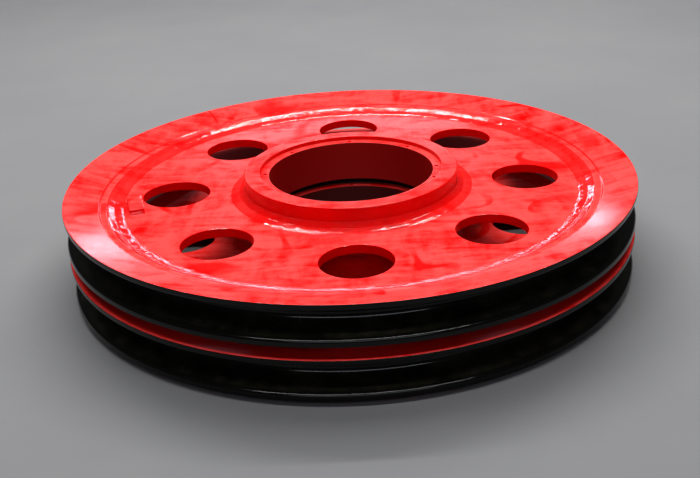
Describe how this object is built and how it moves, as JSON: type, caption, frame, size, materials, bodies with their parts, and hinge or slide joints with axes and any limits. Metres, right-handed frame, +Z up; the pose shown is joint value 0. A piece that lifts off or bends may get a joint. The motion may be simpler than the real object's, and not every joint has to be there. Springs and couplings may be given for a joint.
{
  "type": "wire rope sheave pair",
  "caption": "Stacked pair of large welded wire-rope sheaves: grooved rim, holed web plate and bored hub, each free to turn on the common axis.",
  "frame": {"origin": "centre of the lower hub's bottom face, on the common axis, at the level the stack rests on", "axes": "+Z up the common axis of both sheaves; +X through a lightening hole, to the right of the viewer who looks along +Y"},
  "size_m": [1.27, 1.27, 0.2243],
  "materials": {
    "rim_paint": "gloss red on the side faces, black in the rope groove and on the flange edges",
    "red_paint": "gloss red enamel with brush and wipe marks",
    "weld_paint": "gloss red enamel over a rippled weld bead"
  },
  "bodies": {
    "lower_sheave": {"lower_rim": "rim_paint", "lower_web_plate": "red_paint", "lower_hub": "red_paint", "lower_hub_weld_top": "weld_paint", "lower_hub_weld_bottom": "weld_paint", "lower_rim_weld_top": "weld_paint", "lower_rim_weld_bottom": "weld_paint", "lower_marking_pad": "red_paint", "lower_pad_weld_far": "weld_paint", "lower_pad_weld_near": "weld_paint"},
    "upper_sheave": {"upper_rim": "rim_paint", "upper_web_plate": "red_paint", "upper_hub": "red_paint", "upper_hub_weld_top": "weld_paint", "upper_hub_weld_bottom": "weld_paint", "upper_rim_weld_top": "weld_paint", "upper_rim_weld_bottom": "weld_paint", "upper_marking_pad": "red_paint", "upper_pad_weld_far": "weld_paint", "upper_pad_weld_near": "weld_paint"}
  },
  "joints": [
    {"name": "upper_spin", "type": "hinge", "parent": "lower_sheave", "child": "upper_sheave", "pos_m": [0, 0, 0.1123], "axis": [0, 0, 1], "continuous": true}
  ]
}
